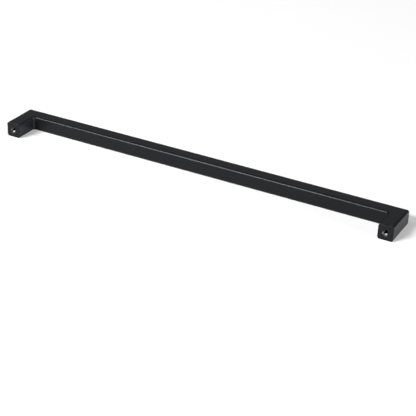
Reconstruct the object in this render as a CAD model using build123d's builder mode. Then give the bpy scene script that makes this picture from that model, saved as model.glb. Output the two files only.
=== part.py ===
"""Square bar cabinet handle, cast in one piece: a straight bar that turns into a leg at each end.

Sizes are in millimetres. The legs' ends lie in the plane Y = 0, where the handle meets the front of
the drawer or door, and the origin is midway between the two screw holes in that plane. X runs along
the bar, +Y points away from the front towards the hand, and +Z is up.
"""

import os
from math import radians, tan

from build123d import *

# Driving dimensions
hole_spacing = 320.0  # between the screw holes' centres
projection = 32.0  # from the drawer front to the bar's outer face
section_height = 12.0  # bar and legs, along Z
bar_depth = 12.0  # bar, along Y
leg_width = 12.0  # each leg, along X, centred on its screw hole
edge_radius = 1.8  # the long outer edges and the outer corners, as they leave the die
end_edge_radius = 0.3  # round each leg's end, which is milled flat to sit on the front
inner_corner_radius = 2.0  # where the inside of a leg runs into the bar

# Screw holes, drilled and then tapped for an M4 screw
tap_drill_diameter = 3.3
drill_depth = 15.0  # full diameter, measured from the leg's end
drill_point_angle = 118.0
lead_in_diameter = 5.0  # countersink at the mouth, which starts the screw
lead_in_angle = 90.0

# Sizes that follow from the ones above
overall_length = hole_spacing + leg_width
finger_gap_length = hole_spacing - leg_width
finger_gap_depth = projection - bar_depth
drill_point_height = tap_drill_diameter / 2 / tan(radians(drill_point_angle / 2))
leg_ends = [
    Plane(origin=(side * hole_spacing / 2, 0, 0), x_dir=(1, 0, 0), z_dir=(0, -1, 0))
    for side in (-1, 1)
]
drill_bottoms = [leg_end.offset(-drill_depth) for leg_end in leg_ends]


with BuildPart() as handle:
    # The U outline seen from above: a full block, less the finger gap between the legs
    with BuildSketch(Plane.XY.offset(-section_height / 2)):
        with Locations((0, projection / 2)):
            Rectangle(overall_length, projection)
        with Locations((0, finger_gap_depth / 2)):
            Rectangle(finger_gap_length, finger_gap_depth, mode=Mode.SUBTRACT)
    extrude(amount=section_height)

    # The upright edges lie in three rows along Y: the legs' ends, the inner corners, the outer corners
    inner_edges = handle.edges().filter_by(Axis.Z).group_by(Axis.Y)[1]
    fillet(inner_edges, inner_corner_radius)

    # The outer edges are rounded together, so that three of them meet in a ball corner on the bar
    rim_edges = handle.faces().filter_by(Plane.XY).edges()
    leg_end_edges = handle.faces().filter_by(Plane.XZ).group_by(Axis.Y)[0].edges()
    outer_corner_edges = handle.edges().filter_by(Axis.Z).group_by(Axis.Y)[-1]
    fillet([edge for edge in rim_edges + outer_corner_edges if edge not in leg_end_edges], edge_radius)

    # The legs' ends keep a crisp edge all round
    fillet(handle.faces().filter_by(Plane.XZ).group_by(Axis.Y)[0].edges(), end_edge_radius)

    # A tapped hole goes straight into each leg and ends in the drill's point
    with Locations(*leg_ends):
        CounterSinkHole(tap_drill_diameter / 2, lead_in_diameter / 2, drill_depth, lead_in_angle)
    with Locations(*drill_bottoms):
        Cone(
            bottom_radius=tap_drill_diameter / 2,
            top_radius=0,
            height=drill_point_height,
            rotation=(180, 0, 0),
            align=(Align.CENTER, Align.CENTER, Align.MIN),
            mode=Mode.SUBTRACT,
        )
handle.part.label = "handle"

os.makedirs("parts", exist_ok=True)
export_step(handle.part, "parts/handle.step")

print(f"overall {overall_length} x {projection} x {section_height} mm")
print(f"volume {handle.part.volume:.0f} mm3 in {len(handle.part.solids())} solid")
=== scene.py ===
# %% [markdown]
# A square-bar cabinet handle: one zinc casting with a tapped hole in each leg, powder coated in matte black.
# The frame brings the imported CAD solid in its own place, and every piece below is modelled in that frame, in
# metres: X runs along the bar, Y from the drawer front out to the bar, and Z up.

# %% Load the frame
import math

import bmesh
import bpy
from mathutils import Matrix, Vector


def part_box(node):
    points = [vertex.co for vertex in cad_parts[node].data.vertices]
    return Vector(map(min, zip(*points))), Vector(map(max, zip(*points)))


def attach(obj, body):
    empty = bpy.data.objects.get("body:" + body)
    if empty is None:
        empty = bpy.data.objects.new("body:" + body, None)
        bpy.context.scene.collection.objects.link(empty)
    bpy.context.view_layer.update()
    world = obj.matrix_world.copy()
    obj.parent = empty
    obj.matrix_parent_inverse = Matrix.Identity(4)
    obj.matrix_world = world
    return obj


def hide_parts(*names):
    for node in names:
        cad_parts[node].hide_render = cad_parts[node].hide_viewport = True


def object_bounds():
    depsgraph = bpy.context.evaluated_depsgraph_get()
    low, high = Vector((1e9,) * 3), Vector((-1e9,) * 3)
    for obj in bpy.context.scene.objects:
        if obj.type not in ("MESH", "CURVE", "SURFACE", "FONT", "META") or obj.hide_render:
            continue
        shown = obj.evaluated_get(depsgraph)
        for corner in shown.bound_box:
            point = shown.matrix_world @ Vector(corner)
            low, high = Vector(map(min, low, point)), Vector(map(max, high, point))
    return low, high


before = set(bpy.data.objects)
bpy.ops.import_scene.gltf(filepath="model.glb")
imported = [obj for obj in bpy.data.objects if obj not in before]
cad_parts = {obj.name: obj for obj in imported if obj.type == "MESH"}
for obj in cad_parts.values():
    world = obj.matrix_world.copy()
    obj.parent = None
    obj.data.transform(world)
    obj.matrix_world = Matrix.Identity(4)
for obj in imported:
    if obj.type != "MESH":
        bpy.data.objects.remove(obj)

mm = 0.001
scene = bpy.context.scene
cad_low, cad_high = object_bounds()
bpy.ops.object.select_all(action="DESELECT")


def in_mm(lengths):
    return [round(length / mm, 3) for length in lengths]


print("CAD box in mm:", in_mm(cad_low), in_mm(cad_high))


# %% [markdown]
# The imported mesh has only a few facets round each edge, and on a black part the rounded edges are most of
# what the eye can read. So the casting is modelled again at the same sizes with finer edges. A curve with a
# square profile could make it too, but a box with two legs drawn out of it keeps the flat faces flat and
# the turns square.

# %% Sizes of the casting
handle_low, handle_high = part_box("handle")
bar_depth = 12 * mm
leg_width = 12 * mm
leg_inside = handle_high.x - leg_width
bar_back = handle_high.y - bar_depth
hole_x = handle_high.x - leg_width / 2
print("in mm: legs' insides, bar's back and holes at", in_mm((leg_inside, bar_back, hole_x)))


# %% Bar
bpy.ops.mesh.primitive_cube_add(size=1.0, location=(0.0, (bar_back + handle_high.y) / 2, 0.0))
casting = bpy.context.object
casting.name = "casting"
casting.scale = (handle_high.x - handle_low.x, bar_depth, handle_high.z - handle_low.z)
bpy.ops.object.transform_apply(location=True, rotation=True, scale=True)
print("bar in mm:", in_mm(casting.dimensions))


# %% [markdown]
# Two planes level with the insides of the legs cut the bar in three. The two ends of its back face are then
# drawn out into the legs, and the lines that the planes left on the flat faces are dissolved. Faces, edges
# and points are picked by where they are or which way they look, with one small function.

# %% Legs
def pick(kind, test):
    bpy.ops.mesh.select_mode(type=kind)
    bpy.ops.mesh.select_all(action="DESELECT")
    cage = bmesh.from_edit_mesh(bpy.context.object.data)
    kinds = {"VERT": cage.verts, "EDGE": cage.edges, "FACE": cage.faces}
    chosen = [part for part in kinds[kind] if test(part)]
    for part in chosen:
        part.select_set(True)
    bmesh.update_edit_mesh(bpy.context.object.data)
    return len(chosen)


def is_back_of_end(face):
    looks_back = face.normal.y < -0.9
    beyond_leg_inside = abs(face.calc_center_median().x) > leg_inside
    return looks_back and beyond_leg_inside


leg_reach = handle_low.y - bar_back
flat_angle = math.radians(1)
bpy.ops.object.mode_set(mode="EDIT")
for side in (-1, 1):
    bpy.ops.mesh.select_all(action="SELECT")
    bpy.ops.mesh.bisect(plane_co=(side * leg_inside, 0.0, 0.0), plane_no=(1.0, 0.0, 0.0))
legs = pick("FACE", is_back_of_end)
bpy.ops.mesh.extrude_region_move(TRANSFORM_OT_translate={"value": (0.0, leg_reach, 0.0)})
bpy.ops.mesh.select_all(action="SELECT")
bpy.ops.mesh.dissolve_limited(angle_limit=flat_angle)
print(legs, "legs drawn out,", len(bmesh.from_edit_mesh(casting.data).faces), "flat faces")


# %% [markdown]
# A die leaves no sharp edge. The two inner corners are rounded first, because they bend inwards and have a
# radius of their own, and then the outer edges at once, so that three of them run together in a ball corner
# where the bar ends. The legs' ends come last: they are milled flat to sit on the drawer front, so their
# edges stay crisp, with just the roundness that the coat gives them.

# %% Inner corners
def turn_at(edge):
    # A square edge turns by 90 degrees, and one that bends inwards by -90
    return math.degrees(edge.calc_face_angle_signed())


inner_radius, inner_steps = 2.0 * mm, 10
corners = pick("EDGE", lambda edge: turn_at(edge) < -80)
bpy.ops.mesh.bevel(offset=inner_radius, segments=inner_steps, affect="EDGES", clamp_overlap=False)
print(corners, "inner corners rounded")


# %% Outer edges and rims
tolerance = 0.01 * mm


def is_outer(edge):
    return turn_at(edge) > 45


def is_on_leg_end(edge):
    return all(point.co.y < handle_low.y + tolerance for point in edge.verts)


edge_radius, edge_steps = 1.8 * mm, 8
rim_radius, rim_steps = 0.3 * mm, 4
edges = pick("EDGE", lambda edge: is_outer(edge) and not is_on_leg_end(edge))
bpy.ops.mesh.bevel(offset=edge_radius, segments=edge_steps, affect="EDGES", clamp_overlap=False)
rims = pick("EDGE", lambda edge: is_outer(edge) and is_on_leg_end(edge))
bpy.ops.mesh.bevel(offset=rim_radius, segments=rim_steps, affect="EDGES", clamp_overlap=False)
bpy.ops.object.mode_set(mode="OBJECT")
print(edges, "outer edges and", rims, "rim edges rounded,", len(casting.data.polygons), "faces")


# %% [markdown]
# Each leg's end is drilled and countersunk. Faces inset in the leg's end could be pushed in instead, but a
# drill keeps its sizes in one place and leaves the rounded edges alone. It is a body of its own, grown ring
# by ring from a disc: the cone of the countersink, the straight part and the point. Behind the cone it steps
# out to the outside diameter of the thread, because the thread's ridge is a piece of its own that stands
# inside it. The drill is modelled once, copied for the other leg, and a Boolean modifier takes each copy out
# of the casting.

# %% Drill
mouth_radius, crest_radius, thread_radius = 2.5 * mm, 1.65 * mm, 2.0 * mm
sink_depth = mouth_radius - crest_radius
drill_depth = 15 * mm
point_angle = math.radians(118)
point_depth = drill_depth + thread_radius / math.tan(point_angle / 2)
tip_radius = 0.02 * mm
rings = [
    (sink_depth, crest_radius),
    (sink_depth, thread_radius),
    (drill_depth, thread_radius),
    (point_depth, tip_radius),
]
# The disc lies outside the leg, where the cone is wider by as much, so the drill cuts through the face
overshoot = 1 * mm
depth, radius = -overshoot, mouth_radius + overshoot
drill_sides = 64
bpy.ops.mesh.primitive_circle_add(vertices=drill_sides, radius=radius, fill_type="NGON",
                                  location=(0.0, depth, 0.0), rotation=(math.radians(90), 0.0, 0.0))
drill = bpy.context.object
drill.name = "drill"
bpy.ops.object.transform_apply(location=True, rotation=True, scale=True)
bpy.ops.object.mode_set(mode="EDIT")
for next_depth, next_radius in rings:
    bpy.ops.mesh.extrude_region_move(TRANSFORM_OT_translate={"value": (0.0, next_depth - depth, 0.0)})
    shrink = next_radius / radius
    bpy.ops.transform.resize(value=(shrink, 1.0, shrink), center_override=(0.0, next_depth, 0.0))
    depth, radius = next_depth, next_radius
bpy.ops.mesh.select_all(action="SELECT")
bpy.ops.mesh.normals_make_consistent(inside=False)
bpy.ops.object.mode_set(mode="OBJECT")
print("drill's point", round(depth / mm, 2), "mm deep")


# %% Screw holes
drill.location.x = -hole_x
bpy.ops.object.duplicate()
other_drill = bpy.context.object
other_drill.location.x = hole_x
for cutter in (drill, other_drill):
    cut = casting.modifiers.new("drilled", "BOOLEAN")
    cut.operation = "DIFFERENCE"
    cut.solver = "EXACT"
    cut.object = cutter
    bpy.ops.object.select_all(action="DESELECT")
    bpy.context.view_layer.objects.active = casting
    bpy.ops.object.modifier_apply(modifier="drilled")
    bpy.data.objects.remove(cutter)
print("two holes drilled,", len(casting.data.polygons), "faces")


# %% [markdown]
# The edges are shaded smooth and the rims of the holes stay sharp. A Weighted Normal modifier lets the
# large flat faces decide the shading, so that they stay flat right up to where a rounded edge begins.

# %% Smooth shading
casting.select_set(True)
bpy.ops.object.shade_smooth_by_angle(angle=math.radians(30))
even = casting.modifiers.new("even", "WEIGHTED_NORMAL")
even.keep_sharp = True
bpy.ops.object.modifier_apply(modifier="even")
casting.select_set(False)
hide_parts("handle")
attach(casting, "root")
print("casting in mm:", in_mm(casting.dimensions))


# %% [markdown]
# The holes are tapped for an M4 screw, so a ridge winds up each wall, 0.7 mm a turn. A picture of a thread
# would do from afar, but a real ridge catches the light as the photographed one does. It starts as one flat
# section, narrow at the crest and sunk a little into the wall at its root, and only its outline is kept.

# %% Section of the thread
pitch = 0.7 * mm
root_width, crest_width = 0.60 * mm, 0.16 * mm
sunk = 0.02 * mm
bpy.ops.mesh.primitive_plane_add(size=1.0)
thread = bpy.context.object
thread.name = "thread_left"
thread.scale = (thread_radius + sunk - crest_radius, root_width, 1.0)
bpy.ops.object.transform_apply(location=True, rotation=True, scale=True)
bpy.ops.object.mode_set(mode="EDIT")
bpy.ops.transform.translate(value=((thread_radius + sunk + crest_radius) / 2, 0.0, 0.0))
crest = pick("VERT", lambda point: point.co.x < thread_radius - sunk)
narrow = crest_width / root_width
bpy.ops.transform.resize(value=(1.0, narrow, 1.0), center_override=(crest_radius, 0.0, 0.0))
bpy.ops.mesh.select_all(action="SELECT")
bpy.ops.mesh.delete(type="ONLY_FACE")
bpy.ops.object.mode_set(mode="OBJECT")
print(crest, "points drawn in to the crest of the thread")


# %% [markdown]
# A Screw modifier sweeps the outline round the hole and along it, as the tap does. The two open ends are
# filled, and the finished ridge is copied into the other leg.

# %% Wind the thread
turns, steps_per_turn = 19, 28
thread_start = sink_depth + pitch / 2
wind = thread.modifiers.new("wind", "SCREW")
wind.axis = "Y"
wind.screw_offset = pitch
wind.iterations = turns
wind.steps = steps_per_turn
wind.render_steps = steps_per_turn
bpy.ops.object.modifier_apply(modifier="wind")
bpy.ops.object.mode_set(mode="EDIT")
bpy.ops.mesh.select_all(action="SELECT")
bpy.ops.mesh.remove_doubles(threshold=0.001 * mm)
bpy.ops.mesh.fill_holes(sides=0)
bpy.ops.mesh.select_all(action="SELECT")
bpy.ops.mesh.normals_make_consistent(inside=False)
bpy.ops.object.mode_set(mode="OBJECT")
bpy.ops.object.shade_smooth_by_angle(angle=math.radians(25))
thread.location = (-hole_x, thread_start, 0.0)
bpy.ops.object.transform_apply(location=True, rotation=True, scale=True)
print(thread.name, "wound in", turns, "turns")


# %% Thread in the other leg
bpy.ops.object.duplicate()
other_thread = bpy.context.object
other_thread.name = "thread_right"
other_thread.location = (2 * hole_x, 0.0, 0.0)
bpy.ops.object.transform_apply(location=True, rotation=True, scale=True)
bpy.ops.object.select_all(action="DESELECT")
for piece in (thread, other_thread):
    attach(piece, "root")
    print(piece.name, len(piece.data.polygons), "faces")


# %% [markdown]
# Colours are written as the hex values that a paint chart or a picture editor shows. Blender mixes light in
# linear values, so one function turns a hex value into those. A second one adds a shader node, sets its
# values and links its inputs, so that each material below reads as a list of nodes.

# %% Colour and node helpers
def linear(hex_colour):
    parts = [int(hex_colour[i:i + 2], 16) / 255 for i in (1, 3, 5)]
    return [p / 12.92 if p <= 0.04045 else ((p + 0.055) / 1.055) ** 2.4 for p in parts] + [1.0]


def add_node(tree, kind, settings=None, values=None, links=None):
    node = tree.nodes.new(kind)
    for name, value in (settings or {}).items():
        setattr(node, name, value)
    for name, value in (values or {}).items():
        node.inputs[name].default_value = value
    for name, source in (links or {}).items():
        tree.links.new(source, node.inputs[name])
    return node


def new_material(name):
    material = bpy.data.materials.new(name)
    material.use_nodes = True
    material.node_tree.nodes.clear()
    return material, material.node_tree


print("the middle grey #808080 is", round(linear("#808080")[0], 3), "in linear values")


# %% [markdown]
# The finish is a polyester powder coat, sprayed on dry and baked. The powder melts into a skin with a faint
# orange peel a few millimetres across, and the matting agent in it leaves a much finer grain. So a lamp
# shows only as a soft line along the rounded edges, and the flat faces stay nearly black. The resin has an
# IOR of about 1.5, but the grain scatters most of what it reflects, so a lower one matches the coat. The
# grain is really under a tenth of a millimetre. It is drawn at a quarter, which still reads as a smooth
# matte face.

# %% Grain and orange peel
coat, tree = new_material("powder_coat_matte_black")
grain_size, grain_height = 0.25 * mm, 0.002 * mm
peel_size, peel_height = 2.5 * mm, 0.006 * mm
place = add_node(tree, "ShaderNodeTexCoord").outputs["Object"]
grain = add_node(tree, "ShaderNodeTexNoise",
                 values={"Scale": 1 / grain_size, "Detail": 3.0, "Roughness": 0.6},
                 links={"Vector": place}).outputs["Fac"]
peel = add_node(tree, "ShaderNodeTexNoise", values={"Scale": 1 / peel_size, "Detail": 1.0},
                links={"Vector": place}).outputs["Fac"]
wavy = add_node(tree, "ShaderNodeBump", values={"Strength": 1.0, "Distance": peel_height},
                links={"Height": peel})
grained = add_node(tree, "ShaderNodeBump", values={"Strength": 1.0, "Distance": grain_height},
                   links={"Height": grain, "Normal": wavy.outputs["Normal"]})
print("grain and orange peel in mm:", in_mm((grain_size, peel_size)))


# %% Matte black powder coat
# Pigment: a bluish black, a shade darker in the hollows of the grain
black = add_node(tree, "ShaderNodeValToRGB", links={"Fac": grain})
hollow, top = black.color_ramp.elements
hollow.position, hollow.color = 0.35, linear("#0f1012")
top.position, top.color = 0.65, linear("#151618")
# Matting agent: soft, slightly uneven reflections
noise_low, noise_high = 0.3, 0.7
coat_smoothest, coat_roughest = 0.29, 0.37
matte = add_node(tree, "ShaderNodeMapRange",
                 values={"From Min": noise_low, "From Max": noise_high,
                         "To Min": coat_smoothest, "To Max": coat_roughest},
                 links={"Value": grain})
shader = add_node(tree, "ShaderNodeBsdfPrincipled", values={"IOR": 1.26},
                  links={"Base Color": black.outputs["Color"], "Roughness": matte.outputs["Result"],
                         "Normal": grained.outputs["Normal"]})
add_node(tree, "ShaderNodeOutputMaterial", links={"Surface": shader.outputs["BSDF"]})
casting.data.materials.append(coat)
print(coat.name, "on", casting.name)


# %% [markdown]
# The holes are tapped after coating, so they are bare zinc alloy: a slightly warm grey metal with fine
# marks that run round the hole. Some of the powder drifts in and dulls the countersink, and the first turns
# of the thread are clean. Further in, the metal is painted dark: painted shade for the deep inside of the
# hole, where little light reaches. Seen from outside, that is a grey sickle on one side, one bright glint
# and black above. The marks are drawn at a tenth of a millimetre, coarser than a tap leaves them.

# %% Marks of the tap
zinc, tree = new_material("zinc_alloy_tapped")
mark_width, mark_length, mark_height = 0.1 * mm, 2 * mm, 0.004 * mm
zinc_smoothest, zinc_roughest = 0.34, 0.52
place = add_node(tree, "ShaderNodeTexCoord").outputs["Object"]
drawn = add_node(tree, "ShaderNodeMapping",
                 values={"Scale": (1 / mark_length, 1 / mark_width, 1 / mark_length)},
                 links={"Vector": place}).outputs["Vector"]
marks = add_node(tree, "ShaderNodeTexNoise", values={"Scale": 1.0, "Detail": 2.0},
                 links={"Vector": drawn}).outputs["Fac"]
polish = add_node(tree, "ShaderNodeMapRange",
                  values={"From Min": noise_low, "From Max": noise_high,
                          "To Min": zinc_smoothest, "To Max": zinc_roughest},
                  links={"Value": marks})
scored = add_node(tree, "ShaderNodeBump", values={"Strength": 1.0, "Distance": mark_height},
                  links={"Height": marks})
print("marks in mm:", in_mm((mark_width, mark_length)))


# %% Tone by depth
# Depth from the leg's end, with a little added by the marks so that the tones have uneven borders
uneven_by = 0.3 * mm
toned_depth = 3 * mm
tones = [
    (0.99 * mm, "#515151"),  # up to here, dulled by powder
    (1.14 * mm, "#9f988c"),  # clean
    (1.65 * mm, "#8d877d"),
    # From here on the tone is painted shade for the deep inside of the hole, rather than oil
    (2.55 * mm, "#383530"),  # from here on, dark with oil
]
deep = add_node(tree, "ShaderNodeSeparateXYZ", links={"Vector": place}).outputs["Y"]
uneven = add_node(tree, "ShaderNodeMath", {"operation": "MULTIPLY_ADD"}, {1: uneven_by},
                  {0: marks, 2: deep})
inwards = add_node(tree, "ShaderNodeMapRange", values={"From Min": 0.0, "From Max": toned_depth},
                   links={"Value": uneven.outputs["Value"]})
tone = add_node(tree, "ShaderNodeValToRGB", links={"Fac": inwards.outputs["Result"]})
# A new ramp has two stops: one is taken out, the other becomes the first tone, and the rest are added
stops = tone.color_ramp.elements
stops.remove(stops[1])
stops[0].position = tones[0][0] / toned_depth
stops[0].color = linear(tones[0][1])
for tone_depth, colour in tones[1:]:
    stops.new(tone_depth / toned_depth).color = linear(colour)
print("tones at", [round(stop.position, 3) for stop in stops], "of", round(toned_depth / mm, 2), "mm")


# %% Bare zinc, tapped
shader = add_node(tree, "ShaderNodeBsdfPrincipled", values={"Metallic": 1.0},
                  links={"Base Color": tone.outputs["Color"], "Roughness": polish.outputs["Result"],
                         "Normal": scored.outputs["Normal"]})
add_node(tree, "ShaderNodeOutputMaterial", links={"Surface": shader.outputs["BSDF"]})
for piece in (thread, other_thread):
    piece.data.materials.append(zinc)
casting.data.materials.append(zinc)
wall = 0
for face in casting.data.polygons:
    centre = face.center
    if math.hypot(abs(centre.x) - hole_x, centre.z) < mouth_radius and centre.y > handle_low.y + sunk:
        face.material_index = 1
        wall += 1
print(zinc.name, "on the threads and on", wall, "faces of the holes")


# %% [markdown]
# The handle lies on its lower side on a pale, matt table. Lamps alone would leave the table a light grey,
# and stronger lamps would bleach the handle too. So a little light of its own, which only the camera and the
# reflections see, lifts the table to white and leaves the soft shadow in place.

# %% Table
table_size, table_lift = 8.0, 0.35
bpy.ops.mesh.primitive_plane_add(size=table_size, location=(0.0, 0.0, cad_low[2]))
table = bpy.context.object
table.name = "table"
white, tree = new_material("white_table_matt")
rays = add_node(tree, "ShaderNodeLightPath")
facing = add_node(tree, "ShaderNodeMath", {"operation": "ADD"},
                  links={0: rays.outputs["Is Camera Ray"], 1: rays.outputs["Is Glossy Ray"]})
seen = add_node(tree, "ShaderNodeMath", {"operation": "ADD"},
                links={0: facing.outputs["Value"], 1: rays.outputs["Is Transmission Ray"]})
strength = add_node(tree, "ShaderNodeMath", {"operation": "MULTIPLY"}, {1: table_lift},
                    {0: seen.outputs["Value"]})
matt = add_node(tree, "ShaderNodeBsdfPrincipled",
                values={"Base Color": linear("#d6d3cf"), "Roughness": 1.0, "Specular IOR Level": 0.0})
lift = add_node(tree, "ShaderNodeEmission", links={"Strength": strength.outputs["Value"]})
both = add_node(tree, "ShaderNodeAddShader", links={0: matt.outputs["BSDF"], 1: lift.outputs["Emission"]})
add_node(tree, "ShaderNodeOutputMaterial", links={"Surface": both.outputs["Shader"]})
table.data.materials.append(white)
print("table at z =", round(cad_low[2] / mm, 2), "mm")


# %% [markdown]
# Matte black shows its lamps more than its colour, so each lamp has one task. A long strip on the left of
# the camera draws the line along the bar's upper edge. A lamp high above it fills the shadows. A wide, weak
# one behind on the left is what the top mirrors, and so greys it. A low lamp on the right lights the faces
# that look along the bar, and a small one behind on the right catches the upper edge of the right-hand leg.
# All of them stand five metres off, so that both ends get about the same light.

# %% Dim room
room_glow = 0.02
room = bpy.data.worlds.new("dim_room")
scene.world = room
room.use_nodes = True
background = room.node_tree.nodes["Background"].inputs
background["Color"].default_value = linear("#ffffff")
background["Strength"].default_value = room_glow
print(room.name, "with a strength of", room_glow)


# %% Studio light
daylight = linear("#f6f9ff")[:3]
lamp_distance = 5.0
between_legs = Vector((0.0, 14 * mm, 0.0))


def soft_lamp(name, heading, height, size, power):
    lamp = bpy.data.lights.new(name, "AREA")
    lamp.shape = "RECTANGLE"
    lamp.size, lamp.size_y = size
    lamp.energy = power
    lamp.color = daylight
    body = bpy.data.objects.new(name, lamp)
    scene.collection.objects.link(body)
    heading, height = math.radians(heading), math.radians(height)
    level = math.cos(height)
    toward = Vector((level * math.sin(heading), level * math.cos(heading), math.sin(height)))
    body.location = between_legs + lamp_distance * toward
    body.rotation_euler = toward.to_track_quat("Z", "Y").to_euler()
    print(name, "at", [round(v, 2) for v in body.location], "m,", power, "W")


# Headings turn from +Y towards +X and heights rise from the table, in degrees. Sizes are in metres.
soft_lamp("strip_left", 209, 33, (2.0, 0.6), 400.0)
soft_lamp("high_left", 225, 60, (2.8, 0.6), 45.0)
soft_lamp("low_back_left", 330, 30, (4.0, 2.0), 12.5)
soft_lamp("low_right", 94, 3, (2.4, 0.4), 550.0)
soft_lamp("low_back_right", 38, 8, (0.8, 0.5), 11.0)


# %% [markdown]
# The camera stands behind the right-hand leg and above it, with a long lens that keeps the bar's edges
# almost parallel. It was fitted to the handle's edges in the photograph and is placed by its axes in the
# shared frame.

# %% Camera
camera_data = bpy.data.cameras.new("camera")
camera_data.sensor_width = 36.0
camera_data.lens = 109.88
camera = bpy.data.objects.new("camera", camera_data)
scene.collection.objects.link(camera)
camera_place = Vector((0.40531, -0.75671, 0.42744))
to_right = Vector((0.880333, 0.472738, 0.039153)).normalized()
to_back = Vector((0.402386, -0.787927, 0.466109)).normalized()
to_up = to_back.cross(to_right)
turn = Matrix((to_right, to_up, to_back)).transposed()
camera.matrix_world = Matrix.Translation(camera_place) @ turn.to_4x4()
scene.camera = camera
scene.view_settings.view_transform = "Standard"
print("camera", [round(v, 3) for v in camera.location], "lens", camera_data.lens, "mm")
